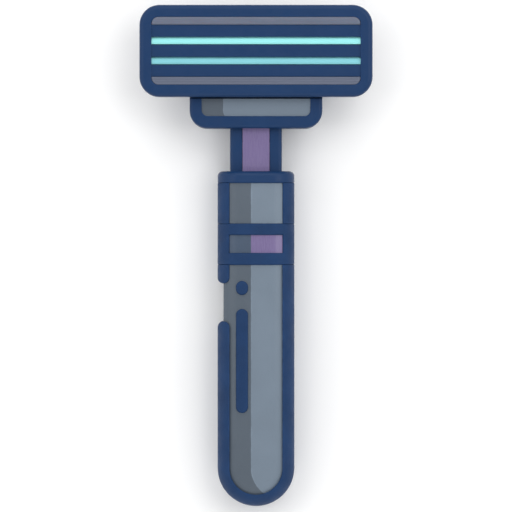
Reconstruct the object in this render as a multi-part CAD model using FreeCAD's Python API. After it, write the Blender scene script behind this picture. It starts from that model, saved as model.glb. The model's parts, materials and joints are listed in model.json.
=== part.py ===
"""A cartridge razor with a twin-blade head that pivots, built piece by piece as it would come apart.

Frame, in millimetres: X runs across the razor, +Y along the handle towards the head, and +Z out of the
shaving face. The razor lies on its back. The origin is on the surface under it, at the middle of its length
and width.
"""

import FreeCAD, Part
import math
import os

V = FreeCAD.Vector
X_AXIS = V(1, 0, 0)
Y_AXIS = V(0, 1, 0)
Z_AXIS = V(0, 0, 1)
BELOW, ABOVE = -5.0, 20.0  # heights that clear the whole razor, for cutting tools
FAR = 60.0  # a length that clears the whole razor
NEAR = 0.01  # edges this close to a level or a station count as lying in it
TOUCH = 0.001  # points this close to a surface count as lying on it
CORNER_ANGLE = 0.2  # faces that meet at more than this, in radians, form a corner
ROOT = 0.5  # how far ears and lugs reach into the plate that they stand on

# --- Handle: outline seen from the shaving side ---
HANDLE_HALF_W = 7.7
HANDLE_TOP = 17.0
END_CENTRE_Y = -42.5  # centre of the round end
RAIL_W = 2.4  # soft side rail, and every navy border
WINDOW_HALF_W = HANDLE_HALF_W - RAIL_W
COLLAR_Y = HANDLE_TOP - RAIL_W
SLEEVE_Y = (-1.8, 6.5)  # the sleeve that carries the accent band
BAND_Y = (0.6, 4.2)
SEAM_X = -1.0  # where the dark panels meet the light ones
SEAM_END_R = 6.2  # the seam curves away with this radius at the round end
NOTCH_X = -6.5  # side of the dark panel where the left rail is interrupted
RAIL_CAP_R = RAIL_W / 2
STUB_CAP_Y = -4.3  # centres of the rails' round ends, each side of the notch
MAIN_CAP_Y = -14.3

# --- Handle: side profile ---
CROWN_Z, CROWN_Y, CROWN_R = 13.2, -14.2, 405.0  # front face, one long arc
BACK_RISE_Y, BACK_R = 4.0, 94.0  # the back is flat up to here, then lifts towards the neck
FRONT_ROUND, BACK_ROUND = 4.2, 3.4
COLLAR_ROUND = 1.0
PANEL_INSET = 0.4  # hard panels lie this far below the rails
CORE_INSET = 1.7
EDGE_R = 0.3  # softened rim of the rails and inlays

# --- Handle: inlays, pad and ballast ---
GRIP_X, GRIP_W = -2.8, 2.4
DOT_Y = (-7.8, -5.0)
STRIP_Y = (-31.4, -10.6)
PAD_HALF_W, PAD_Y, PAD_TOP = 3.7, (-37.0, -5.0), 1.25
GROOVE_COUNT, GROOVE_W, GROOVE_DEPTH, GROOVE_HALF_L = 10, 1.0, 0.5, 2.6
WEIGHT_R, WEIGHT_Y, WEIGHT_Z = 2.8, (-36.0, 4.0), 6.4
WEIGHT_PLAY = 0.1
RIB_PITCH, RIB_TOP_Y, RIB_COUNT = 2.1, -5.0, 16  # upright grooves in the sides of the long rail
RIB_W, RIB_DEPTH, RIB_Z = 1.0, 0.35, (3.9, 8.0)
RIB_MARGIN = 2.0  # the left side's grooves keep this far below the rail's round end

# --- Neck ---
NECK_HALF_W, NECK_Z = 5.2, (2.6, 9.0)
NECK_EDGE_R = 0.7
TANG_Y, SHOULDER_Y, NOSE_Y = 6.8, 25.6, 31.2
NOSE_HALF_W, NOSE_Z = 3.6, (3.1, 6.7)
NOSE_CHAMFER = 0.5
DOWEL_R, DOWEL_Y, DOWEL_Z, DOWEL_HALF_L = 0.7, 9.6, 7.6, 5.9

# --- Release slider and its spring ---
SLIDER_HALF_W, SLIDER_Y, SLIDER_Z = 2.7, (12.4, 26.2), (7.8, 9.3)
SLIDER_PLAY = 0.1
SLIDER_TRAVEL = 2.5
POCKET_END_PLAY = 0.4  # room before the slider when it is pushed all the way
FLANGE_HALF_W, FLANGE_Y, FLANGE_TOP = 3.4, (13.0, 22.8), 8.4
FLANGE_END_PLAY = 0.05
THUMB_DISH_R, THUMB_DISH_DEPTH = 26.0, 0.22
SLIDER_SPRING_Y, SLIDER_SPRING_Z = (18.0, 24.0), 7.5
SLIDER_SPRING_R, SLIDER_WIRE_R, SLIDER_TURNS = 0.62, 0.14, 7
SLIDER_GROOVE_R, SLIDER_GROOVE_PLAY = 0.87, 0.2

# --- Return plunger and its spring ---
PLUNGER_Z, PLUNGER_R = 4.8, 1.0
PLUNGER_BORE_R = 1.08
PLUNGER_HEAD_R, PLUNGER_HEAD_Y = 1.35, (18.6, 19.9)
PLUNGER_TAIL_R, PLUNGER_TAIL_Y = 0.6, 11.2
SPRING_BORE_R, SPRING_BORE_END = 1.45, 20.0
SEAT_LENGTH = 1.5
PLUNGER_SPRING_R, PLUNGER_WIRE_R, PLUNGER_TURNS = 0.95, 0.16, 9

# --- Pivot of the cartridge ---
PIVOT_Y, PIVOT_Z = 38.0, 7.2
PIN_R, PIN_BORE_R, PIN_X = 0.8, 0.85, (7.6, 12.6)
PIN_CHAMFER = 0.15
EAR_R, EAR_X = 1.7, (7.8, 10.0)
PIVOT_LIMIT = math.radians(36)
CAM_HALF_W, CAM_BACK, CAM_DEPTH = 2.0, 1.5, 4.1
CAM_ARM = PIVOT_Z - PLUNGER_Z
CAM_FACE = 0.6  # the cam face lies this far short of the pivot at rest
CAM_GAP = 0.05

# --- Yoke ---
YOKE_HALF_W, YOKE_CORNER_R = 13.3, 3.5
YOKE_FRONT_END, YOKE_DECK_END = 31.5, 34.4
YOKE_Z, YOKE_DECK_TOP = (1.9, 11.2), 8.9
YOKE_BACK_R = 26.0
YOKE_EDGE_R = 0.7
SOCKET_PLAY = 0.15
ARM_X, ARM_BOTTOM = (10.3, 13.0), 5.5
ARM_ROOT = 1.0  # how far an arm reaches into the yoke's block
FACE_HALF_W, FACE_Y, FACE_Z, FACE_CORNER_R = 10.9, (28.0, YOKE_FRONT_END), (10.2, 10.95), 1.2
FACE_SEAM_X, FACE_SEAM_R = -6.6, 2.2

# --- Cartridge ---
CART_HALF_W, CART_Y, CART_CORNER_R = 23.3, (31.8, 50.2), 4.0
CART_BACK, CART_PARTING, CART_FRONT = 9.2, 11.4, 14.2
CART_EDGE_R = 0.9
TRAY_INSET = 0.3
SLOT_HALF_W, SLOT_H, SLOT_PITCH = 20.9, 1.6, 4.0
GUARD_SLOT_Y = 35.0  # middle of the lowest slot
GUARD_SLOT, LOWER_SLOT, UPPER_SLOT, STRIP_SLOT = SLOTS = range(4)  # from the handle's side outwards
SLOT_CORNER_R = 1.4
FRONT_WALL = 0.7
BAR_RECESS = 0.2
BAR_EDGE_R = 0.18  # softened long edges of the bars
CAVITY_HALF_W, CAVITY_Y = 22.1, (33.0, 49.0)
STRIP_FOOT, STRIP_FOOT_TOP, STRIP_TOP = 0.6, 12.6, 14.3
FIN_COUNT, FIN_W, FIN_DEPTH = 4, 0.22, 0.4

# --- Blades ---
BLADE_HALF_L, BLADE_W, BLADE_T = 21.8, 2.6, 0.2
BLADE_TILT = math.radians(20)
BLADE_EDGE_Z, BLADE_EDGE_BACK = 13.85, 0.72  # height of the edge, and its place before the slot's middle
BEVEL_L = 0.45
BLADE_POCKET_HALF_W, BLADE_POCKET_TOP = 21.9, 13.95  # room in the bezel for the blades' ends
CARRIER_T, CARRIER_SETBACK, CARRIER_FOOT_Z = 0.3, 0.7, 10.2
CARRIER_HALF_L = 21.5
CARRIER_BACK_SETBACK = 0.1
RINSE_SPAN, RINSE_X = (-0.5, 1.1), (1.5, 20.0)  # rinse windows: Y from their slot's middle, and ends in X
RINSE_MARGIN = 1.0  # they stay this clear of the ears and the cam lug


def box(x, y, z):
    """A block between the two ends given on each axis."""
    return Part.makeBox(x[1] - x[0], y[1] - y[0], z[1] - z[0], V(x[0], y[0], z[0]))


def mirrored_box(half_w, y, z):
    """A block that is centred on X = 0."""
    return box((-half_w, half_w), y, z)


def rod_y(radius, y, z, x=0.0):
    """A round bar along Y."""
    return Part.makeCylinder(radius, y[1] - y[0], V(x, y[0], z), Y_AXIS)


def rod_x(radius, x, y, z):
    """A round bar along X."""
    return Part.makeCylinder(radius, x[1] - x[0], V(x[0], y, z), X_AXIS)


def plate(x, y, z, low_r=0.0, high_r=0.0):
    """A plate with its corners rounded in plan: low_r at its low-Y corners and high_r at its high-Y ones."""
    solid = box(x, y, z)
    for radius, corner_y in ((low_r, y[0]), (high_r, y[1])):
        if radius:
            upright = [e for e in solid.Edges if is_along(e, Z_AXIS)]
            solid = solid.makeFillet(radius, [e for e in upright if abs(e.CenterOfMass.y - corner_y) < 1e-6])
    return solid


def pill(x, width, y, z):
    """An upright-walled slot shape along Y with round ends."""
    radius = width / 2
    straight = (y[0] + radius, y[1] - radius)
    ends = [Part.makeCylinder(radius, z[1] - z[0], V(x, end, z[0])) for end in straight]
    return box((x - radius, x + radius), straight, z).fuse(ends).removeSplitter()


def extrude_x(points, half_length):
    """A straight bar along X, centred, whose section is the closed outline of (y, z) points."""
    corners = [V(-half_length, y, z) for y, z in points]
    return Part.Face(Part.makePolygon(corners + corners[:1])).extrude(V(2 * half_length, 0, 0))


def is_along(edge, axis):
    """True if the edge is straight and parallel to the axis."""
    ends = [v.Point for v in edge.Vertexes]
    return len(ends) == 2 and (ends[1] - ends[0]).cross(axis).Length < 1e-6


def lies_between(edge, low, high, axis="z"):
    """True if points all along the edge are between low and high on the axis."""
    span = edge.LastParameter - edge.FirstParameter
    values = [getattr(edge.valueAt(edge.FirstParameter + span * k / 4), axis) for k in range(5)]
    return min(values) > low and max(values) < high


def coil_y(radius, wire_r, y, z, turns):
    """A round-wire compression spring along Y, with its ends inside the stretch y."""
    length = y[1] - y[0] - 2 * wire_r
    path = Part.makeHelix(length / turns, length, radius)
    profile = Part.Wire(Part.makeCircle(wire_r, V(radius, 0, 0), Y_AXIS))
    spring = Part.Wire(path).makePipeShell([profile], True, True)
    spring.rotate(V(0, 0, 0), X_AXIS, -90)
    spring.translate(V(0, y[0] + wire_r, z))
    return spring


# --- Handle ---


def end_outline(half_w, top):
    """The handle's outline as an upright prism: straight sides and a round end."""
    corners = [V(half_w, END_CENTRE_Y, BELOW), V(half_w, top, BELOW), V(-half_w, top, BELOW)]
    corners.append(V(-half_w, END_CENTRE_Y, BELOW))
    sides = [Part.LineSegment(a, b).toShape() for a, b in zip(corners, corners[1:])]
    end = Part.Arc(corners[3], V(0, END_CENTRE_Y - half_w, BELOW), corners[0]).toShape()
    return Part.Face(Part.Wire(sides + [end])).extrude(V(0, 0, ABOVE - BELOW))


def side_profile(inset):
    """The handle's side view, drawn in by inset and extruded across X."""
    front_r, back_r = CROWN_R - inset, BACK_R - inset

    def front(y):
        return V(-FAR, y, CROWN_Z - CROWN_R + math.sqrt(front_r**2 - (y - CROWN_Y) ** 2))

    def back(y):
        return V(-FAR, y, BACK_R - math.sqrt(back_r**2 - (y - BACK_RISE_Y) ** 2))

    low, high = -FAR, HANDLE_TOP + 1
    flat_start, flat_end = V(-FAR, low, inset), back(BACK_RISE_Y)
    edges = [
        Part.LineSegment(flat_start, flat_end).toShape(),
        Part.Arc(flat_end, back((BACK_RISE_Y + high) / 2), back(high)).toShape(),
        Part.LineSegment(back(high), front(high)).toShape(),
        Part.Arc(front(high), front(CROWN_Y), front(low)).toShape(),
        Part.LineSegment(front(low), flat_start).toShape(),
    ]
    return Part.Face(Part.Wire(edges)).extrude(V(2 * FAR, 0, 0))


def envelope(inset, top=HANDLE_TOP):
    """The handle's whole outer form, drawn in by inset, with its long edges rounded."""
    solid = end_outline(HANDLE_HALF_W - inset, top).common(side_profile(inset))
    middle = CROWN_Z / 2
    for radius, heights in ((FRONT_ROUND, (middle, ABOVE)), (BACK_ROUND, (BELOW, middle))):
        edges = [
            e for e in solid.Edges if lies_between(e, *heights) and not lies_between(e, top - NEAR, FAR, "y")
        ]
        solid = solid.makeFillet(radius - inset, edges)
    return solid


def across(y, x=(-FAR, FAR)):
    """Everything between two stations along the handle, to cut a stretch out of it."""
    return box(x, y, (BELOW, ABOVE))


def front_half():
    return box((-FAR, FAR), (-FAR, FAR), (CROWN_Z / 2, ABOVE))


def window():
    """The zone between the rails, where the panels lie."""
    return end_outline(WINDOW_HALF_W, COLLAR_Y)


def rail_cap(y):
    """Round end of the left rail."""
    return Part.makeCylinder(RAIL_CAP_R, ABOVE - BELOW, V(NOTCH_X, y, BELOW))


def notch_zone():
    """Where the dark panel and the back cover reach out through the left rail."""
    zone = across((MAIN_CAP_Y, STUB_CAP_Y), (NOTCH_X, -WINDOW_HALF_W))
    return zone.cut([rail_cap(MAIN_CAP_Y), rail_cap(STUB_CAP_Y)])


def light_side():
    """Everything right of the seam, whose end curves away to the right."""
    straight = across((END_CENTRE_Y, FAR), (SEAM_X, FAR))
    curve = Part.makeCylinder(SEAM_END_R, ABOVE - BELOW, V(SEAM_X + SEAM_END_R, END_CENTRE_Y, BELOW))
    beyond = across((-FAR, END_CENTRE_Y), (SEAM_X + SEAM_END_R, FAR))
    return straight.fuse([curve, beyond]).removeSplitter()


def soft_skin():
    """The full-height outer layer, from which the rails, the sleeve and the inlays are made."""
    return envelope(0).cut(envelope(CORE_INSET, COLLAR_Y))


def hard_skin():
    """The lower outer layer, from which the hard panels are made."""
    return envelope(PANEL_INSET).cut(envelope(CORE_INSET, COLLAR_Y))


def soften_rim(solid, flush_at=()):
    """Rounds the edges where a soft piece's skin turns down to its walls, except at the flush Y stations."""
    skin = envelope(0).Shells[0]
    rim = []
    for edge in solid.Edges:
        middle = edge.valueAt((edge.FirstParameter + edge.LastParameter) / 2)
        flush = any(lies_between(edge, y - TOUCH, y + TOUCH, "y") for y in flush_at)
        on_skin = skin.distToShape(Part.Vertex(middle))[0] < TOUCH
        if on_skin and not flush and is_corner(solid, edge, middle):
            rim.append(edge)
    return solid.makeFillet(EDGE_R, rim)


def is_corner(solid, edge, point):
    """True if the two faces at the edge meet at an angle there."""
    faces = [f for f in solid.Faces if any(edge.isSame(e) for e in f.Edges)]
    normals = [f.normalAt(*f.Surface.parameter(point)) for f in faces]
    return len(normals) == 2 and normals[0].getAngle(normals[1]) > CORNER_ANGLE


def front_and_back(ring):
    """Splits a ring of panel into its light and dark front parts and its back part."""
    front = ring.common(front_half())
    return front.common(light_side()), front.cut(light_side()), ring.cut(front_half())


def shoulder_parts():
    """The short stretch between the collar and the sleeve."""
    zone = across((SLEEVE_Y[1], COLLAR_Y))
    light, dark, back = front_and_back(hard_skin().common(zone.common(window())))
    rails = soft_skin().common(zone).cut(window())
    parts = {"shoulder_panel_light": light, "shoulder_panel_dark": dark, "shoulder_panel_back": back}
    for name, x in (("shoulder_rail_right", (0, FAR)), ("shoulder_rail_left", (-FAR, 0))):
        parts[name] = soften_rim(rails.common(across((-FAR, FAR), x)), (SLEEVE_Y[1], COLLAR_Y))
    return parts


def sleeve_parts():
    """The sleeve, with the accent band let into it front and back."""
    zone = across(BAND_Y).common(window())
    light, dark, back = front_and_back(hard_skin().common(zone))
    sleeve = soft_skin().common(across(SLEEVE_Y)).cut(zone)
    return {
        "accent_band_light": light,
        "accent_band_dark": dark,
        "accent_band_back": back,
        "band_sleeve": soften_rim(sleeve),
    }


def grip_parts():
    """The lower grip's panels, with the dot, the strip and the ribbed pad let into them."""
    below_sleeve = across((-FAR, SLEEVE_Y[0])).common(window())
    panels = hard_skin().common(below_sleeve).fuse(hard_skin().common(notch_zone())).removeSplitter()
    light, dark, back = front_and_back(panels)
    inlays = {
        "grip_dot": pill(GRIP_X, GRIP_W, DOT_Y, (CROWN_Z / 2, ABOVE)),
        "grip_strip": pill(GRIP_X, GRIP_W, STRIP_Y, (CROWN_Z / 2, ABOVE)),
    }
    parts = {name: soften_rim(soft_skin().common(tool)) for name, tool in inlays.items()}
    pad = pill(0, 2 * PAD_HALF_W, PAD_Y, (0, PAD_TOP))
    parts["front_panel_light"] = light
    parts["front_panel_dark"] = dark.cut(list(inlays.values()))
    parts["back_cover"] = back.cut(pad)
    parts["rear_grip_pad"] = pad.cut(pad_grooves())
    return parts


def side_grooves():
    """Upright round-ended grooves in both sides of the long rail, as ribs for the fingers."""
    radius = RIB_W / 2
    low, high = RIB_Z[0] + radius, RIB_Z[1] - radius
    grooves = []
    for i in range(RIB_COUNT):
        y = RIB_TOP_Y - RIB_PITCH * i
        x = (HANDLE_HALF_W - RIB_DEPTH, FAR)
        ends = [rod_x(radius, x, y, z) for z in (low, high)]
        groove = box(x, (y - radius, y + radius), (low, high)).fuse(ends).removeSplitter()
        grooves.append(groove)
        if y < MAIN_CAP_Y - RIB_MARGIN:
            grooves.append(groove.mirror(V(0, 0, 0), X_AXIS))
    return grooves


def rail_parts():
    """The soft rail round the lower grip. The notch leaves a stub of it at the upper left.

    The long rail's rim stays square, because it runs out into the round end of the handle.
    """
    rails = soft_skin().cut(window()).common(across((-FAR, SLEEVE_Y[0])))
    left_of_window = (-FAR, -WINDOW_HALF_W)
    main = rails.cut(across((MAIN_CAP_Y, FAR), left_of_window))
    stub = rails.common(across((STUB_CAP_Y, FAR), left_of_window))
    main = main.fuse(soft_skin().common(rail_cap(MAIN_CAP_Y))).removeSplitter()
    stub = stub.fuse(soft_skin().common(rail_cap(STUB_CAP_Y))).removeSplitter()
    return {
        "grip_rail_main": main.cut(side_grooves()),
        "grip_rail_stub": soften_rim(stub, (SLEEVE_Y[0],)),
    }


def core_parts():
    """The collar, the core that everything is fixed to, and what lies inside it."""
    collar = envelope(0).common(across((COLLAR_Y, HANDLE_TOP)))
    collar = soften_rim(collar, (HANDLE_TOP,))
    top_edges = [e for e in collar.Edges if lies_between(e, HANDLE_TOP - NEAR, FAR, "y")]
    collar = collar.makeFillet(COLLAR_ROUND, top_edges)
    bore = rod_y(WEIGHT_R + WEIGHT_PLAY, (WEIGHT_Y[0], TANG_Y), WEIGHT_Z)
    dowel_hole = rod_x(DOWEL_R, (-FAR, FAR), DOWEL_Y, DOWEL_Z)
    return {
        "top_collar": collar.cut(neck_passage()),
        "handle_core": envelope(CORE_INSET, COLLAR_Y).cut([neck_passage(), bore, dowel_hole]),
        "balance_weight": rod_y(WEIGHT_R, WEIGHT_Y, WEIGHT_Z),
        "neck_dowel": rod_x(DOWEL_R, (-DOWEL_HALF_L, DOWEL_HALF_L), DOWEL_Y, DOWEL_Z),
    }


def pad_grooves():
    """Round-ended grooves across the finger pad."""
    first, last = PAD_Y[0] + PAD_HALF_W, PAD_Y[1] - PAD_HALF_W
    grooves = []
    for i in range(GROOVE_COUNT):
        groove = pill(0, GROOVE_W, (-GROOVE_HALF_L, GROOVE_HALF_L), (BELOW, GROOVE_DEPTH))
        groove.rotate(V(0, 0, 0), Z_AXIS, 90)
        groove.translate(V(0, first + (last - first) * i / (GROOVE_COUNT - 1), 0))
        grooves.append(groove)
    return grooves


def neck_bar(y):
    """A stretch of the neck's main bar, whose long edges are rounded."""
    bar = mirrored_box(NECK_HALF_W, y, NECK_Z)
    return bar.makeFillet(NECK_EDGE_R, [e for e in bar.Edges if is_along(e, Y_AXIS)])


def neck_passage():
    """The hole for the neck's tang and, above it, for the slider."""
    slider_y = (SLIDER_Y[0] - SLIDER_PLAY, HANDLE_TOP)
    slider = mirrored_box(SLIDER_HALF_W + SLIDER_PLAY, slider_y, (SLIDER_Z[0], SLIDER_Z[1] + SLIDER_PLAY))
    return neck_bar((TANG_Y, HANDLE_TOP)).fuse(slider)


# --- Neck ---


def neck_frame():
    """The neck: a tang in the handle, a channel for the slider and a hollow nose for the head."""
    body = neck_bar((TANG_Y, SHOULDER_Y))
    nose = mirrored_box(NOSE_HALF_W, (SHOULDER_Y, NOSE_Y), NOSE_Z)
    tip_edges = [e for e in nose.Edges if lies_between(e, NOSE_Y - NEAR, FAR, "y")]
    nose = nose.makeChamfer(NOSE_CHAMFER, tip_edges)
    floor = SLIDER_Z[0] - SLIDER_PLAY
    channel_y = (SLIDER_Y[0] - SLIDER_PLAY, SHOULDER_Y)
    channel = mirrored_box(SLIDER_HALF_W + SLIDER_PLAY, channel_y, (floor, ABOVE))
    flange_y = (channel_y[0], FLANGE_Y[1] + SLIDER_TRAVEL + FLANGE_END_PLAY)
    grooves = mirrored_box(FLANGE_HALF_W + SLIDER_PLAY, flange_y, (floor, FLANGE_TOP + SLIDER_PLAY))
    bed_y = (SLIDER_SPRING_Y[0] - SLIDER_GROOVE_PLAY, SLIDER_SPRING_Y[1])
    spring_bed = rod_y(SLIDER_GROOVE_R, bed_y, SLIDER_SPRING_Z)
    plunger_bore = rod_y(PLUNGER_BORE_R, (TANG_Y, NOSE_Y), PLUNGER_Z)
    spring_bore = rod_y(SPRING_BORE_R, (TANG_Y, SPRING_BORE_END), PLUNGER_Z)
    dowel_hole = rod_x(DOWEL_R, (-FAR, FAR), DOWEL_Y, DOWEL_Z)
    return body.fuse(nose).cut([channel, grooves, spring_bed, plunger_bore, spring_bore, dowel_hole])


def release_slider():
    """The thumb slider, with guide flanges, a dished top and a bed for its spring."""
    top = mirrored_box(SLIDER_HALF_W, SLIDER_Y, SLIDER_Z)
    flanges = mirrored_box(FLANGE_HALF_W, FLANGE_Y, (SLIDER_Z[0], FLANGE_TOP))
    dish_y = (HANDLE_TOP + SHOULDER_Y) / 2
    dish_z = SLIDER_Z[1] - THUMB_DISH_DEPTH + THUMB_DISH_R
    dish = rod_x(THUMB_DISH_R, (-FAR, FAR), dish_y, dish_z)
    spring_bed = rod_y(SLIDER_GROOVE_R, (SLIDER_SPRING_Y[0], FAR), SLIDER_SPRING_Z)
    return top.fuse(flanges).removeSplitter().cut([dish, spring_bed])


def return_plunger():
    """The sprung rod that pushes the cartridge back to rest."""
    tip_y = PIVOT_Y - CAM_FACE - CAM_GAP - PLUNGER_R
    shank = rod_y(PLUNGER_R, (PLUNGER_HEAD_Y[1], tip_y), PLUNGER_Z)
    tip = Part.makeSphere(PLUNGER_R, V(0, tip_y, PLUNGER_Z))
    head = rod_y(PLUNGER_HEAD_R, PLUNGER_HEAD_Y, PLUNGER_Z)
    tail = rod_y(PLUNGER_TAIL_R, (PLUNGER_TAIL_Y, PLUNGER_HEAD_Y[0]), PLUNGER_Z)
    return shank.fuse([tip, head, tail]).removeSplitter()


def neck_parts():
    seat_y = (TANG_Y, TANG_Y + SEAT_LENGTH)
    plunger_spring_y = (seat_y[1], PLUNGER_HEAD_Y[0])
    return {
        "neck_frame": neck_frame(),
        "release_slider": release_slider(),
        "slider_spring": coil_y(
            SLIDER_SPRING_R, SLIDER_WIRE_R, SLIDER_SPRING_Y, SLIDER_SPRING_Z, SLIDER_TURNS
        ),
        "return_plunger": return_plunger(),
        "plunger_spring": coil_y(
            PLUNGER_SPRING_R, PLUNGER_WIRE_R, plunger_spring_y, PLUNGER_Z, PLUNGER_TURNS
        ),
        "spring_seat": rod_y(SPRING_BORE_R, seat_y, PLUNGER_Z),
    }


# --- Head ---


def yoke():
    """The head's carrier: a socket for the neck's nose, and two arms that hold the pivot pins."""
    block = plate((-YOKE_HALF_W, YOKE_HALF_W), (SHOULDER_Y, YOKE_DECK_END), YOKE_Z, low_r=YOKE_CORNER_R)
    back_curve = rod_y(YOKE_BACK_R, (SHOULDER_Y, YOKE_DECK_END), YOKE_Z[0] + YOKE_BACK_R)
    block = block.common(back_curve)
    front_edges = [e for e in block.Edges if lies_between(e, YOKE_Z[1] - NEAR, FAR)]
    front_edges = [e for e in front_edges if not lies_between(e, YOKE_DECK_END - NEAR, FAR, "y")]
    block = block.makeFillet(YOKE_EDGE_R, front_edges)
    over_deck = mirrored_box(FAR, (YOKE_FRONT_END, FAR), (YOKE_DECK_TOP, ABOVE))
    block = block.cut(over_deck)
    for side in (1, -1):
        arm = box(ARM_X, (YOKE_DECK_END - ARM_ROOT, PIVOT_Y), (ARM_BOTTOM, YOKE_DECK_TOP))
        arm = arm.fuse(rod_x(EAR_R, ARM_X, PIVOT_Y, PIVOT_Z))
        arm = arm.cut(rod_x(PIN_R, (ARM_X[0], PIN_X[1]), PIVOT_Y, PIVOT_Z))
        block = block.fuse(arm if side == 1 else arm.mirror(V(0, 0, 0), X_AXIS))
    socket = mirrored_box(
        NOSE_HALF_W + SOCKET_PLAY,
        (SHOULDER_Y, NOSE_Y + SOCKET_PLAY),
        (NOSE_Z[0] - SOCKET_PLAY, NOSE_Z[1] + SOCKET_PLAY),
    )
    slider_pocket = mirrored_box(
        SLIDER_HALF_W + SOCKET_PLAY,
        (SHOULDER_Y, SLIDER_Y[1] + SLIDER_TRAVEL + POCKET_END_PLAY),
        (SLIDER_Z[0] - SOCKET_PLAY, SLIDER_Z[1] + SOCKET_PLAY),
    )
    plunger_hole = rod_y(PLUNGER_R + SOCKET_PLAY, (NOSE_Y, YOKE_DECK_END), PLUNGER_Z)
    return block.removeSplitter().cut([socket, slider_pocket, plunger_hole, face_recess()])


def face_recess():
    """The recess in the yoke's front for its two face panels."""
    height = (FACE_Z[0], ABOVE)
    return plate((-FACE_HALF_W, FACE_HALF_W), (FACE_Y[0], FACE_Y[1]), height, low_r=FACE_CORNER_R)


def yoke_faces():
    face = plate((-FACE_HALF_W, FACE_HALF_W), FACE_Y, FACE_Z, low_r=FACE_CORNER_R)
    light = box((FACE_SEAM_X, FAR), (FACE_Y[0] - 1, FAR), (BELOW, ABOVE))
    seam_edges = [e for e in light.Edges if is_along(e, Z_AXIS) and e.CenterOfMass.x < 0]
    light = light.makeFillet(FACE_SEAM_R, [e for e in seam_edges if e.CenterOfMass.y < FAR / 2])
    return {"yoke_face_light": face.common(light), "yoke_face_dark": face.cut(light)}


def pivot_pins():
    """Two steel pins, fast in the yoke's arms, that the cartridge's ears turn on."""
    pin = rod_x(PIN_R, PIN_X, PIVOT_Y, PIVOT_Z)
    inner_rim = [e for e in pin.Edges if lies_between(e, PIN_X[0] - NEAR, PIN_X[0] + NEAR, "x")]
    pin = pin.makeChamfer(PIN_CHAMFER, inner_rim)
    return Part.makeCompound([pin, pin.mirror(V(0, 0, 0), X_AXIS)])


def cam_point(turn):
    """A point of the cam's involute face, in (y, z) from the pivot. It moves the plunger evenly per turn."""
    reach = CAM_FACE + CAM_ARM * turn
    y = -reach * math.cos(turn) + CAM_ARM * math.sin(turn)
    z = -reach * math.sin(turn) - CAM_ARM * math.cos(turn)
    return y, z


def cam_lug():
    """The lug behind the cartridge that the plunger bears on."""

    def at(y, z):
        return V(-CAM_HALF_W, PIVOT_Y + y, PIVOT_Z + z)

    root_z = CART_BACK - PIVOT_Z + ROOT
    start, middle, end = (at(*cam_point(turn)) for turn in (0, PIVOT_LIMIT / 2, PIVOT_LIMIT))
    end_y, end_z = cam_point(PIVOT_LIMIT)
    toe = at(end_y + (end_z + CAM_DEPTH) * math.tan(PIVOT_LIMIT), -CAM_DEPTH)
    corners = [end, toe, at(CAM_BACK, -CAM_DEPTH), at(CAM_BACK, root_z), at(-CAM_FACE, root_z), start]
    edges = [Part.LineSegment(a, b).toShape() for a, b in zip(corners, corners[1:])]
    edges.append(Part.Arc(start, middle, end).toShape())
    return Part.Face(Part.Wire(edges)).extrude(V(2 * CAM_HALF_W, 0, 0))


def blade_section(slot_y):
    """The blade's section in (y, z): a ground edge towards the guard, then a flat strip that sinks back."""
    along = (math.cos(BLADE_TILT), -math.sin(BLADE_TILT))
    up = (math.sin(BLADE_TILT), math.cos(BLADE_TILT))
    edge = (slot_y - BLADE_EDGE_BACK, BLADE_EDGE_Z)

    def at(length, height):
        return tuple(edge[i] + along[i] * length + up[i] * height for i in (0, 1))

    half = BLADE_T / 2
    return [at(0, 0), at(BEVEL_L, half), at(BLADE_W, half), at(BLADE_W, -half), at(BEVEL_L, -half)]


def carrier_section(slot_y):
    """The bent carrier under a blade: a flange that follows the blade, and a leg down into the tray."""
    slope = math.tan(BLADE_TILT)
    under = BLADE_T / 2 / math.cos(BLADE_TILT)

    def below_blade(y):
        return BLADE_EDGE_Z - slope * (y - slot_y + BLADE_EDGE_BACK) - under

    front = slot_y - BLADE_EDGE_BACK + CARRIER_SETBACK
    back = slot_y - BLADE_EDGE_BACK + BLADE_W * math.cos(BLADE_TILT) - CARRIER_BACK_SETBACK
    leg = back - CARRIER_T
    drop = CARRIER_T / math.cos(BLADE_TILT)
    return [
        (front, below_blade(front)),
        (back, below_blade(back)),
        (back, CARRIER_FOOT_Z),
        (leg, CARRIER_FOOT_Z),
        (leg, below_blade(leg) - drop),
        (front, below_blade(front) - drop),
    ]


def slot_y(index):
    """Middle of a slot."""
    return GUARD_SLOT_Y + SLOT_PITCH * index


def slot_span(index, grow=0.0):
    """The stretch in Y that a slot takes up."""
    half_h = SLOT_H / 2 + grow
    return slot_y(index) - half_h, slot_y(index) + half_h


def slot_plate(index, z, grow=0.0):
    """A slot's shape in plan. The outer corners of the first and last slots follow the bezel's corners."""
    rounded = {GUARD_SLOT: {"low_r": SLOT_CORNER_R}, STRIP_SLOT: {"high_r": SLOT_CORNER_R}}
    corners = rounded.get(index, {})
    half_w = SLOT_HALF_W + grow
    return plate((-half_w, half_w), slot_span(index, grow), z, **corners)


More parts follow.
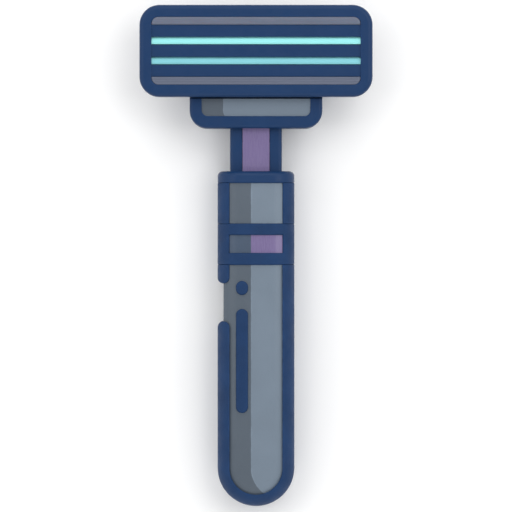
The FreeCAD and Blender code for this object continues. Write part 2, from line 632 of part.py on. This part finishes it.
def cartridge_bezel():
    """The cartridge's front cover, with four slots between its bars."""
    x = (-CART_HALF_W, CART_HALF_W)
    cover = plate(x, CART_Y, (CART_PARTING, CART_FRONT), CART_CORNER_R, CART_CORNER_R)
    front_edges = [e for e in cover.Edges if lies_between(e, CART_FRONT - NEAR, FAR)]
    cover = cover.makeFillet(CART_EDGE_R, front_edges)
    cavity = mirrored_box(CAVITY_HALF_W, CAVITY_Y, (CART_PARTING, CART_FRONT - FRONT_WALL))
    between_slots = (slot_y(GUARD_SLOT), slot_y(STRIP_SLOT))
    recess = mirrored_box(SLOT_HALF_W, between_slots, (CART_FRONT - BAR_RECESS, ABOVE))
    slots = [slot_plate(i, (BELOW, ABOVE)) for i in SLOTS]
    pocket_z = (CART_PARTING, BLADE_POCKET_TOP)
    blade_spans = [slot_span(i) for i in (LOWER_SLOT, UPPER_SLOT)]
    pockets = [mirrored_box(BLADE_POCKET_HALF_W, span, pocket_z) for span in blade_spans]
    cover = cover.cut([cavity, recess] + slots)
    bar_top = CART_FRONT - BAR_RECESS
    at_bar_top = [e for e in cover.Edges if lies_between(e, bar_top - NEAR, bar_top + NEAR)]
    cover = cover.makeFillet(BAR_EDGE_R, [e for e in at_bar_top if is_along(e, X_AXIS)])
    return cover.cut(pockets)


def cartridge_tray():
    """The cartridge's back: it holds the carriers' legs, and has the ears, the cam lug and rinse windows."""
    half_w = CART_HALF_W - TRAY_INSET
    y = (CART_Y[0] + TRAY_INSET, CART_Y[1] - TRAY_INSET)
    corner_r = CART_CORNER_R - TRAY_INSET
    tray = plate((-half_w, half_w), y, (CART_BACK, CART_PARTING), corner_r, corner_r)
    tray = tray.makeFillet(CART_EDGE_R, [e for e in tray.Edges if lies_between(e, BELOW, CART_BACK + NEAR)])
    ear = box(EAR_X, (PIVOT_Y - EAR_R, PIVOT_Y + EAR_R), (PIVOT_Z, CART_BACK + ROOT))
    ear = ear.fuse(rod_x(EAR_R, EAR_X, PIVOT_Y, PIVOT_Z)).cut(rod_x(PIN_BORE_R, EAR_X, PIVOT_Y, PIVOT_Z))
    tray = tray.fuse([ear, ear.mirror(V(0, 0, 0), X_AXIS), cam_lug()]).removeSplitter()
    leg_grooves = []
    for index in (LOWER_SLOT, UPPER_SLOT):
        leg_y = [y for y, z in carrier_section(slot_y(index)) if z == CARRIER_FOOT_Z]
        leg_grooves.append(
            mirrored_box(CARRIER_HALF_L, (min(leg_y), max(leg_y)), (CARRIER_FOOT_Z, CART_PARTING))
        )
    return tray.cut(leg_grooves + rinse_windows())


def rinse_windows():
    """Through-windows under the blades that let water flush them, clear of the ears and the cam lug."""
    beside_lug = (CAM_HALF_W + RINSE_MARGIN, EAR_X[0] - RINSE_MARGIN)
    beyond_ear = (EAR_X[1] + RINSE_MARGIN, RINSE_X[1])
    windows = []
    for index, spans in ((LOWER_SLOT, [beside_lug, beyond_ear]), (UPPER_SLOT, [RINSE_X])):
        y = tuple(slot_y(index) + end for end in RINSE_SPAN)
        for x in spans:
            hole = box(x, y, (BELOW, ABOVE))
            windows += [hole, hole.mirror(V(0, 0, 0), X_AXIS)]
    return windows


def foot(index):
    """The wide foot that keeps a strip in its slot, under the bezel."""
    return slot_plate(index, (CART_PARTING, STRIP_FOOT_TOP), STRIP_FOOT)


def lubricating_strip():
    top = slot_plate(STRIP_SLOT, (STRIP_FOOT_TOP, STRIP_TOP))
    top = top.makeFillet(EDGE_R, [e for e in top.Edges if lies_between(e, STRIP_TOP - NEAR, FAR)])
    return top.fuse(foot(STRIP_SLOT))


def guard_strip():
    """The soft guard, with fine fins that run along it."""
    top = slot_plate(GUARD_SLOT, (STRIP_FOOT_TOP, STRIP_TOP))
    pitch = SLOT_H / FIN_COUNT
    low = slot_y(GUARD_SLOT) - SLOT_H / 2
    gaps = []
    for i in range(1, FIN_COUNT):
        y = low + pitch * i
        gap_half = (pitch - FIN_W) / 2
        gaps.append(mirrored_box(FAR, (y - gap_half, y + gap_half), (STRIP_TOP - FIN_DEPTH, ABOVE)))
    return top.cut(gaps).fuse(foot(GUARD_SLOT))


def head_parts():
    parts = {"yoke": yoke(), "pivot_pins": pivot_pins()}
    parts.update(yoke_faces())
    parts["cartridge_tray"] = cartridge_tray()
    parts["cartridge_bezel"] = cartridge_bezel()
    parts["lubricating_strip"] = lubricating_strip()
    parts["guard_strip"] = guard_strip()
    for name, index in (("lower", LOWER_SLOT), ("upper", UPPER_SLOT)):
        parts[name + "_blade"] = extrude_x(blade_section(slot_y(index)), BLADE_HALF_L)
        parts[name + "_blade_carrier"] = extrude_x(carrier_section(slot_y(index)), CARRIER_HALF_L)
    return parts


def main():
    os.makedirs("parts", exist_ok=True)
    parts = {}
    for group in (shoulder_parts, sleeve_parts, grip_parts, rail_parts, core_parts, neck_parts, head_parts):
        parts.update(group())
    for name, shape in parts.items():
        solids = shape.Solids
        shape = solids[0] if len(solids) == 1 else Part.makeCompound(solids)
        print("%-22s solids %d  valid %s  volume %8.2f" % (name, len(solids), shape.isValid(), shape.Volume))
        shape.exportStep("parts/%s.step" % name)


main()
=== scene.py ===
"""A cartridge razor lying on its back on a pale floor, seen from straight above."""

import json
import math

import bmesh
import bpy
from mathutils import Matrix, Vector


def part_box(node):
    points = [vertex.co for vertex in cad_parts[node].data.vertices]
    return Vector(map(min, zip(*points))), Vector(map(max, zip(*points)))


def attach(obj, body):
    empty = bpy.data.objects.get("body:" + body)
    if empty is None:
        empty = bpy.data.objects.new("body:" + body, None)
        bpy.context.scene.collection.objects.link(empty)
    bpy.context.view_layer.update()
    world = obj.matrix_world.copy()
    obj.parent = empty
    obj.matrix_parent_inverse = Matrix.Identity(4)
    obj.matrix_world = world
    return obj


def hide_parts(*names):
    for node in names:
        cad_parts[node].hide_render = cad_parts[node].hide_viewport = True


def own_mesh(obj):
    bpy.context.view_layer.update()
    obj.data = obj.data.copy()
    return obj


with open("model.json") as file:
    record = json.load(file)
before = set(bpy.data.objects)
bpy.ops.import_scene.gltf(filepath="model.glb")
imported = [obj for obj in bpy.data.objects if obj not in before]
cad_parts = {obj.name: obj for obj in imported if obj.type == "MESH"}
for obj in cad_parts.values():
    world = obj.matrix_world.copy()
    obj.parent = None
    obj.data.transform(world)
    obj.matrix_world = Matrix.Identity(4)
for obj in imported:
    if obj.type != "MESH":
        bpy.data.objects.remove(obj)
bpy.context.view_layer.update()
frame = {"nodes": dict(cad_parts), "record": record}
nodes = frame["nodes"]
scene = bpy.context.scene

MM = 0.001

# --- Colours, as display values from 0 to 1 ---
NAVY = (0.079, 0.200, 0.354)
LIGHT_GREY = (0.424, 0.476, 0.530)
# DARK_GREY is painted shade: the light grey panel's colour as it looks on the handle's shaded left side. The
# core plastic reuses it.
DARK_GREY = (0.312, 0.350, 0.392)
# Painted shade: the purple accent as it looks on its shaded left side.
PURPLE_IN_PAINTED_SHADE = (0.255, 0.310, 0.385)
PURPLE = (0.448, 0.400, 0.555)
STRIP_GREY = (0.378, 0.405, 0.474)
CYAN = (0.539, 0.829, 0.829)
TEAL = (0.460, 0.720, 0.756)
STEEL = (0.70, 0.71, 0.73)
WHITE_PLASTIC = (0.82, 0.83, 0.84)

# --- Sizes that the frame doesn't give, in metres ---
EDGE_BLUNT = 0.1 * MM  # how far the shading rounds every sharp edge
SLIDER_WIRE, SLIDER_TURNS = 0.14 * MM, 7
PLUNGER_WIRE, PLUNGER_TURNS = 0.16 * MM, 9
COIL_STEPS, WIRE_SIDES = 28, 10  # a spring's facets, along each turn and round the wire
FOOT_REACH, FOOT_HEIGHT = 0.6 * MM, 1.2 * MM  # the strips' wide feet, under the cartridge's cover
SLOT_CORNER = 1.4 * MM
END_STEPS = (0.0, 0.04, 0.1, 0.2, 0.35, 0.6, 1.0)  # a strip's facets from each end inwards, in millimetres
END_DROP, END_FALL = 0.25 * MM, 0.35  # a strip's ends fall by this much, over so many millimetres
CROWN_ROWS, FIN_ROWS = 18, 60  # facets across the pressed strip and the finned one
CROWN_DROP, CROWN_EDGE = 0.04 * MM, 0.22 * MM  # how far the pressed strip falls to its sides, and at them
FIN_COUNT, FIN_DEPTH, FIN_EDGE = 5, 0.1 * MM, 0.18 * MM
FLOOR_HALF = 4.0

# --- Light and camera ---
DOME_SIDE, DOME_TOP = 1.1, 0.3
VIEW_WIDTH = 0.1024  # what the frame's width takes in, at the height of the razor's face
FACE_HEIGHT = 0.0125
LENS, SENSOR = 400, 36
NEAR_CLIP, FAR_CLIP = 0.05, 20
LIGHT_DISTANCE = 0.7
LIGHTS = {  # azimuth (0 is the head's side, 90 is +X) and elevation in degrees, radiance, width
    "key light": (65, 58, 2.2, 0.45),
    "fill light": (-75, 55, 1.6, 0.45),
    "head light": (0, 50, 1.5, 0.5),
    "foot light": (180, 58, 1.1, 0.45),
}


# --- Materials ---


def linear(colour):
    """A display colour as the scene-linear one that shaders take."""
    return tuple(c / 12.92 if c <= 0.04045 else ((c + 0.055) / 1.055) ** 2.4 for c in colour)


def even(size):
    """The same size along all three axes."""
    return (size, size, size)


def set_input(node, socket, value):
    node.inputs[socket].default_value = value


class Shader:
    """A material with its principled shader, and short ways to add procedural detail to it."""

    def __init__(self, name, colour, roughness, **sockets):
        self.material = bpy.data.materials.new(name)
        self.material.use_nodes = True
        self.tree = self.material.node_tree
        self.bsdf = self.tree.nodes["Principled BSDF"]
        self.colour = linear(colour)
        self.roughness = roughness
        set_input(self.bsdf, "Base Color", (*self.colour, 1))
        set_input(self.bsdf, "Roughness", roughness)
        for socket, value in sockets.items():
            set_input(self.bsdf, socket.replace("_", " "), value)
        self.place = self.tree.nodes.new("ShaderNodeTexCoord").outputs["Object"]
        self.fed = {"Normal": self.rounded(EDGE_BLUNT)}

    def feed(self, socket, source):
        """Drives one of the shader's sockets, and remembers by what, so that more can be put on top."""
        self.tree.links.new(source, self.bsdf.inputs[socket])
        self.fed[socket] = source

    def node(self, kind, links=None, **values):
        """Adds a node. links feed its inputs by name or number, and values set them or its properties."""
        made = self.tree.nodes.new(kind)
        for key, value in values.items():
            if hasattr(made, key):
                setattr(made, key, value)
            else:
                set_input(made, key.replace("_", " "), value)
        for socket, source in (links or {}).items():
            self.tree.links.new(source, made.inputs[socket])
        return made

    def rounded(self, reach):
        """The normal as it would be with every sharp edge rounded off to this reach."""
        return self.node("ShaderNodeBevel", samples=4, Radius=reach).outputs["Normal"]

    def noise(self, size, detail=3.0, rough=0.55):
        """Noise whose features measure size, in metres, along X, Y and Z."""
        scale = tuple(1 / s for s in size)
        vector = self.node("ShaderNodeMapping", {"Vector": self.place}, Scale=scale).outputs["Vector"]
        made = self.node("ShaderNodeTexNoise", {"Vector": vector}, Scale=1.0, Detail=detail, Roughness=rough)
        return made.outputs["Fac"]

    def ranged(self, source, start, end, low=0.0, high=1.0):
        """Maps start..end to low..high, and holds it there beyond."""
        sizes = {"From_Min": start, "From_Max": end, "To_Min": low, "To_Max": high}
        return self.node("ShaderNodeMapRange", {"Value": source}, **sizes).outputs["Result"]

    def times(self, first, second):
        return self.node("ShaderNodeMath", {0: first, 1: second}, operation="MULTIPLY").outputs["Value"]

    def shade(self, factor):
        """A multiple of the base colour."""
        return (*(min(1.0, c * factor) for c in self.colour), 1)

    def tint(self, source, darker, lighter):
        """Varies the base colour between two multiples of itself."""
        mix = self.node("ShaderNodeMix", {"Factor": self.ranged(source, 0.3, 0.7)}, data_type="RGBA")
        set_input(mix, "A", self.shade(darker))
        set_input(mix, "B", self.shade(lighter))
        self.feed("Base Color", mix.outputs["Result"])

    def polish(self, source, change):
        """Varies the roughness about its mean."""
        low, high = self.roughness - change, self.roughness + change
        self.feed("Roughness", self.ranged(source, 0.3, 0.7, low, high))

    def relief(self, source, depth):
        """Adds a bump of the given depth in metres on top of what is there."""
        links = {"Height": source, "Normal": self.fed["Normal"]}
        bump = self.node("ShaderNodeBump", links, Strength=1.0, Distance=depth)
        self.feed("Normal", bump.outputs["Normal"])

    def worn_edges(self, reach, lighter, amount, roughness):
        """Rubs the edges lighter, and to another roughness, in broken patches."""
        flat = self.node("ShaderNodeNewGeometry").outputs["Normal"]
        links = {0: self.rounded(reach), 1: flat}
        facing = self.node("ShaderNodeVectorMath", links, operation="DOT_PRODUCT").outputs["Value"]
        patches = self.ranged(self.noise(even(1.6 * MM), detail=4, rough=0.65), 0.42, 0.62)
        mask = self.times(self.ranged(facing, 0.99, 0.86, 0.0, amount), patches)
        mix = self.node("ShaderNodeMix", {"Factor": mask, "A": self.fed["Base Color"]}, data_type="RGBA")
        set_input(mix, "B", self.shade(lighter))
        self.feed("Base Color", mix.outputs["Result"])
        links = {"Factor": mask, "A": self.fed["Roughness"]}
        self.feed("Roughness", self.node("ShaderNodeMix", links, B=roughness).outputs["Result"])


def soft_touch(name, colour):
    """Matt elastomer: a sandy grain, a little sheen, faint cloudiness, and edges rubbed smooth."""
    s = Shader(name, colour, 0.62, Sheen_Weight=0.02, Sheen_Roughness=0.5, Specular_IOR_Level=0.2)
    s.tint(s.noise(even(5 * MM), detail=4), 0.88, 1.12)
    s.polish(s.noise(even(2.2 * MM)), 0.08)
    s.relief(s.noise(even(0.9 * MM)), 0.015 * MM)
    s.relief(s.noise(even(0.3 * MM), detail=2), 0.045 * MM)
    s.worn_edges(0.6 * MM, 1.55, 0.6, 0.42)
    return s.material


def guard_rubber(name, colour):
    """Fine elastomer without the grip's grain, because its fins are finer than that."""
    s = Shader(name, colour, 0.55, Sheen_Weight=0.04, Specular_IOR_Level=0.25)
    s.tint(s.noise((3 * MM, 0.5 * MM, 0.5 * MM)), 0.97, 1.03)
    s.polish(s.noise(even(1.5 * MM)), 0.06)
    s.relief(s.noise(even(0.15 * MM), detail=2), 0.006 * MM)
    return s.material


def satin_plastic(name, colour, roughness=0.42, specular=0.3):
    """Moulded plastic with a fine texture from its mould, soft clouding and slightly burnished edges."""
    s = Shader(name, colour, roughness, Specular_IOR_Level=specular)
    s.tint(s.noise(even(8 * MM), detail=4), 0.96, 1.04)
    s.polish(s.noise(even(1.2 * MM)), 0.08)
    s.relief(s.noise(even(0.22 * MM), detail=2), 0.014 * MM)
    s.worn_edges(0.5 * MM, 1.5, 0.7, 0.32)
    return s.material


def gloss_plastic(name, colour):
    """Polished plastic with faint flow marks and hairline scuffs."""
    s = Shader(name, colour, 0.28, Coat_Weight=0.18, Coat_Roughness=0.12, Specular_IOR_Level=0.3)
    s.tint(s.noise(even(6 * MM)), 0.96, 1.04)
    s.polish(s.noise((0.15 * MM, 3 * MM, 0.15 * MM)), 0.05)
    s.relief(s.noise((0.9 * MM, 2.5 * MM, 0.9 * MM)), 0.004 * MM)
    s.worn_edges(0.2 * MM, 1.3, 0.5, 0.35)
    return s.material


def ground_steel(name, colour, grain, roughness=0.34, metallic=1.0):
    """Steel with fine lines along its grain. Under 1, metallic leaves the rest to a thin matt coating."""
    s = Shader(name, colour, roughness, Metallic=metallic)
    s.tint(s.noise(grain), 0.95, 1.05)
    s.polish(s.noise(grain, detail=2), 0.08)
    s.relief(s.noise(grain, detail=4), 0.0015 * MM)
    return s.material


def lubricant(name, colour):
    """Waxy strip: streaked along its length, slightly translucent, with a pressed surface."""
    sub = {"Subsurface_Weight": 0.15, "Subsurface_Scale": 0.4 * MM}
    s = Shader(name, colour, 0.4, Coat_Weight=0.1, Coat_Roughness=0.3, Specular_IOR_Level=0.3, **sub)
    s.tint(s.noise((4 * MM, 0.3 * MM, 0.3 * MM), detail=4), 0.93, 1.07)
    s.polish(s.noise(even(0.8 * MM)), 0.1)
    s.relief(s.noise((1.4 * MM, 0.25 * MM, 0.25 * MM)), 0.02 * MM)
    return s.material


X_GRAIN = (6 * MM, 0.04 * MM, 0.04 * MM)
Y_GRAIN = (0.05 * MM, 4 * MM, 0.05 * MM)

MATERIALS = {
    "panel_light": satin_plastic("light panel", LIGHT_GREY),
    # The dark panel is painted shade, a shaded copy of the light panel.
    "panel_dark": satin_plastic("light panel in painted shade", DARK_GREY),
    "soft_grip": soft_touch("navy soft grip", NAVY),
    "navy_plastic": satin_plastic("navy plastic", NAVY, 0.4, 0.2),
    "accent_purple": gloss_plastic("purple accent", PURPLE),
    "slider_purple": gloss_plastic("purple slider", PURPLE),
    # The slate accent is painted shade, a shaded copy of the purple accent.
    "accent_slate": satin_plastic("purple accent in painted shade", PURPLE_IN_PAINTED_SHADE),
    "core_plastic": satin_plastic("core plastic", DARK_GREY, 0.5),
    "plunger_plastic": satin_plastic("white slick plastic", WHITE_PLASTIC, 0.35),
    "lubricant": lubricant("lubricating strip", STRIP_GREY),
    "guard_rubber": guard_rubber("grey guard rubber", STRIP_GREY),
    "blade_upper": ground_steel("upper blade steel", CYAN, X_GRAIN, 0.4, 0.55),
    "blade_lower": ground_steel("lower blade steel", TEAL, X_GRAIN, 0.4, 0.55),
    "steel": ground_steel("plain steel", STEEL, X_GRAIN),
    "spring_steel": ground_steel("spring steel", STEEL, Y_GRAIN, 0.25),
}


def paint(obj, slot):
    """Gives an object its slot's material."""
    obj.data.materials.clear()
    obj.data.materials.append(MATERIALS[slot])


slot_of = {part["node"]: part["material_slot"] for part in frame["record"]["subparts"]}
for node, slot in slot_of.items():
    paint(nodes[node], slot)


# --- Pieces that replace plainer CAD ones ---


def stand_in(name, bm, node, body, sharp=30):
    """Makes an object of a mesh, in place of a CAD node, with its slot and body."""
    bmesh.ops.recalc_face_normals(bm, faces=bm.faces)
    mesh = bpy.data.meshes.new(name)
    bm.to_mesh(mesh)
    bm.free()
    mesh.shade_smooth()
    mesh.set_sharp_from_angle(angle=math.radians(sharp))
    piece = bpy.data.objects.new(name, mesh)
    scene.collection.objects.link(piece)
    paint(piece, slot_of[node])
    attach(piece, body)
    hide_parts(node)
    return piece


def bridge(bm, first, second):
    """Faces between two rings of points."""
    for i in range(len(first)):
        j = (i + 1) % len(first)
        bm.faces.new((first[i], first[j], second[j], second[i]))


def coil_advance(turn, turns, wire, length):
    """How far along its axis a spring has come after a turn. Its first and last turns lie closed."""
    closed = 2 * wire
    pitch = (length - 2 * closed) / (turns - 2)
    if turn < 1:
        return closed * turn
    if turn > turns - 1:
        return length - closed * (turns - turn)
    return closed + pitch * (turn - 1)


def coil_spring(name, node, wire, turns):
    """A round-wire compression spring with closed ends, which shortens towards its fixed end in Y."""
    low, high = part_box(node)
    centre = (low + high) / 2
    radius = (high.x - low.x) / 2 - wire
    length = high.y - low.y - 2 * wire
    bm = bmesh.new()
    rings = []
    for i in range(turns * COIL_STEPS + 1):
        turn = i / COIL_STEPS
        angle = math.tau * turn
        out = Vector((math.cos(angle), 0, math.sin(angle)))
        along = low.y + wire + coil_advance(turn, turns, wire, length)
        place = Vector((centre.x, along, centre.z)) + out * radius
        ring = []
        for k in range(WIRE_SIDES):
            around = math.tau * k / WIRE_SIDES
            side = out * math.cos(around) + Vector((0, math.sin(around), 0))
            ring.append(bm.verts.new(place + side * wire))
        rings.append(ring)
    for first, second in zip(rings, rings[1:]):
        bridge(bm, first, second)
    bm.faces.new(rings[0])
    bm.faces.new(reversed(rings[-1]))
    piece = stand_in(name, bm, node, "handle", 60)
    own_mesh(piece)


def skin(bm, tops, bottoms):
    """Faces over rows of top points, down to two base points under each row, and across the base."""
    for row, next_row in zip(tops, tops[1:]):
        for i in range(len(row) - 1):
            bm.faces.new((row[i], row[i + 1], next_row[i + 1], next_row[i]))
    for row, next_row, base, next_base in zip(tops, tops[1:], bottoms, bottoms[1:]):
        bm.faces.new((row[0], next_row[0], next_base[0], base[0]))
        bm.faces.new((row[-1], next_row[-1], next_base[1], base[1]))
        bm.faces.new((base[0], base[1], next_base[1], next_base[0]))
    bm.faces.new([*tops[0], bottoms[0][1], bottoms[0][0]])
    bm.faces.new([*tops[-1], bottoms[-1][1], bottoms[-1][0]])


def strip(name, node, profile, rows, corner_side):
    """A strip in one of the cartridge's end slots.

    Its top is profile(t) below its highest level, t from 0 to 1 across it. Its two corners on
    corner_side (-1 low Y, 1 high Y) follow the slot's round ones.
    """
    low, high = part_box(node)
    across = (low.y + FOOT_REACH, high.y - FOOT_REACH)
    height = across[1] - across[0]
    half_w = (high.x - low.x) / 2 - FOOT_REACH
    foot_top = low.z + FOOT_HEIGHT
    outer = across[1] if corner_side > 0 else across[0]
    corner_y = outer - corner_side * SLOT_CORNER

    def half_length(y):
        past = max(0.0, (y - corner_y) * corner_side)
        return half_w - SLOT_CORNER + math.sqrt(max(0.0, SLOT_CORNER**2 - past**2))

    stations = [(low.y, False), (across[0], False)]
    for i in range(rows + 1):
        stations.append((across[0] + height * (0.5 - 0.5 * math.cos(math.pi * i / rows)), True))
    stations += [(across[1], False), (high.y, False)]
    bm = bmesh.new()
    tops, bottoms = [], []
    for y, on_top in stations:
        reach = half_length(min(max(y, across[0]), across[1]))
        xs = [-reach + e * MM for e in END_STEPS] + [reach - e * MM for e in reversed(END_STEPS)]
        if on_top:
            drop = profile((y - across[0]) / height)
            heights = [high.z - drop - END_DROP * (1 - min(1, e / END_FALL)) ** 2.5 for e in END_STEPS]
        else:
            heights = [foot_top] * len(END_STEPS)
        heights += heights[::-1]
        tops.append([bm.verts.new((x, y, z)) for x, z in zip(xs, heights)])
        bottoms.append([bm.verts.new((x, y, low.z)) for x in (xs[0], xs[-1])])
    skin(bm, tops, bottoms)
    bmesh.ops.remove_doubles(bm, verts=bm.verts, dist=1e-8)
    stand_in(name, bm, node, "cartridge", 40)


def crowned(t):
    """A pressed strip: nearly flat, slightly crowned, with soft edges."""
    off_middle = abs(2 * t - 1)
    return CROWN_DROP * off_middle**2 + CROWN_EDGE * off_middle**8


def finned(t):
    """Fine round-topped fins side by side."""
    edge = FIN_EDGE * abs(2 * t - 1) ** 10
    return FIN_DEPTH * (1 - abs(math.sin(math.pi * FIN_COUNT * t)) ** 0.7) + edge


coil_spring("slider_spring_coil", "slider_spring", SLIDER_WIRE, SLIDER_TURNS)
coil_spring("plunger_spring_coil", "plunger_spring", PLUNGER_WIRE, PLUNGER_TURNS)
strip("lubricating_strip_pressed", "lubricating_strip", crowned, CROWN_ROWS, 1)
strip("guard_strip_finned", "guard_strip", finned, FIN_ROWS, -1)


# --- Floor, light and camera ---


def make_floor():
    """A broad pale floor that the razor lies on."""
    mesh = bpy.data.meshes.new("floor")
    corners = [(x * FLOOR_HALF, y * FLOOR_HALF, 0) for x, y in ((-1, -1), (1, -1), (1, 1), (-1, 1))]
    mesh.from_pydata(corners, [], [(0, 1, 2, 3)])
    floor = bpy.data.objects.new("floor", mesh)
    scene.collection.objects.link(floor)
    s = Shader("pale floor", (0.98, 0.98, 0.98), 0.7, Specular_IOR_Level=0.1)
    s.tint(s.noise(even(60 * MM)), 0.995, 1.005)
    mesh.materials.append(s.material)


def make_world():
    """A studio dome, white towards the horizon and dimmer overhead, so that flat faces keep their colour."""
    world = bpy.data.worlds.new("studio")
    world.use_nodes = True
    scene.world = world
    tree = world.node_tree
    background = tree.nodes["Background"]
    place = tree.nodes.new("ShaderNodeTexCoord")
    split = tree.nodes.new("ShaderNodeSeparateXYZ")
    ramp = tree.nodes.new("ShaderNodeMapRange")
    ramp.interpolation_type = "SMOOTHSTEP"
    levels = {"From Min": 0.35, "From Max": 0.85, "To Min": DOME_SIDE, "To Max": DOME_TOP}
    for socket, value in levels.items():
        set_input(ramp, socket, value)
    tree.links.new(place.outputs["Generated"], split.inputs["Vector"])
    tree.links.new(split.outputs["Z"], ramp.inputs["Value"])
    tree.links.new(ramp.outputs["Result"], background.inputs["Strength"])
    set_input(background, "Color", (1, 1, 1, 1))


def softbox(name, azimuth, elevation, radiance, size):
    """A square light aimed at the razor."""
    light = bpy.data.lights.new(name, "AREA")
    light.shape = "SQUARE"
    light.size = size
    light.energy = radiance * math.pi * size**2
    obj = bpy.data.objects.new(name, light)
    scene.collection.objects.link(obj)
    a, e = math.radians(azimuth), math.radians(elevation)
    towards = Vector((math.sin(a) * math.cos(e), math.cos(a) * math.cos(e), math.sin(e)))
    obj.location = towards * LIGHT_DISTANCE
    obj.rotation_mode = "QUATERNION"
    obj.rotation_quaternion = towards.to_track_quat("Z", "Y")


def make_camera():
    """Looks straight down with a long lens, so that the outline is nearly without perspective."""
    camera = bpy.data.cameras.new("camera")
    camera.lens = LENS
    camera.sensor_width = SENSOR
    obj = bpy.data.objects.new("camera", camera)
    scene.collection.objects.link(obj)
    obj.location = (0, 0, FACE_HEIGHT + VIEW_WIDTH * LENS / SENSOR)
    camera.clip_start, camera.clip_end = NEAR_CLIP, FAR_CLIP
    scene.camera = obj


make_floor()
make_world()
for name, settings in LIGHTS.items():
    softbox(name, *settings)
make_camera()
scene.view_settings.view_transform = "Standard"
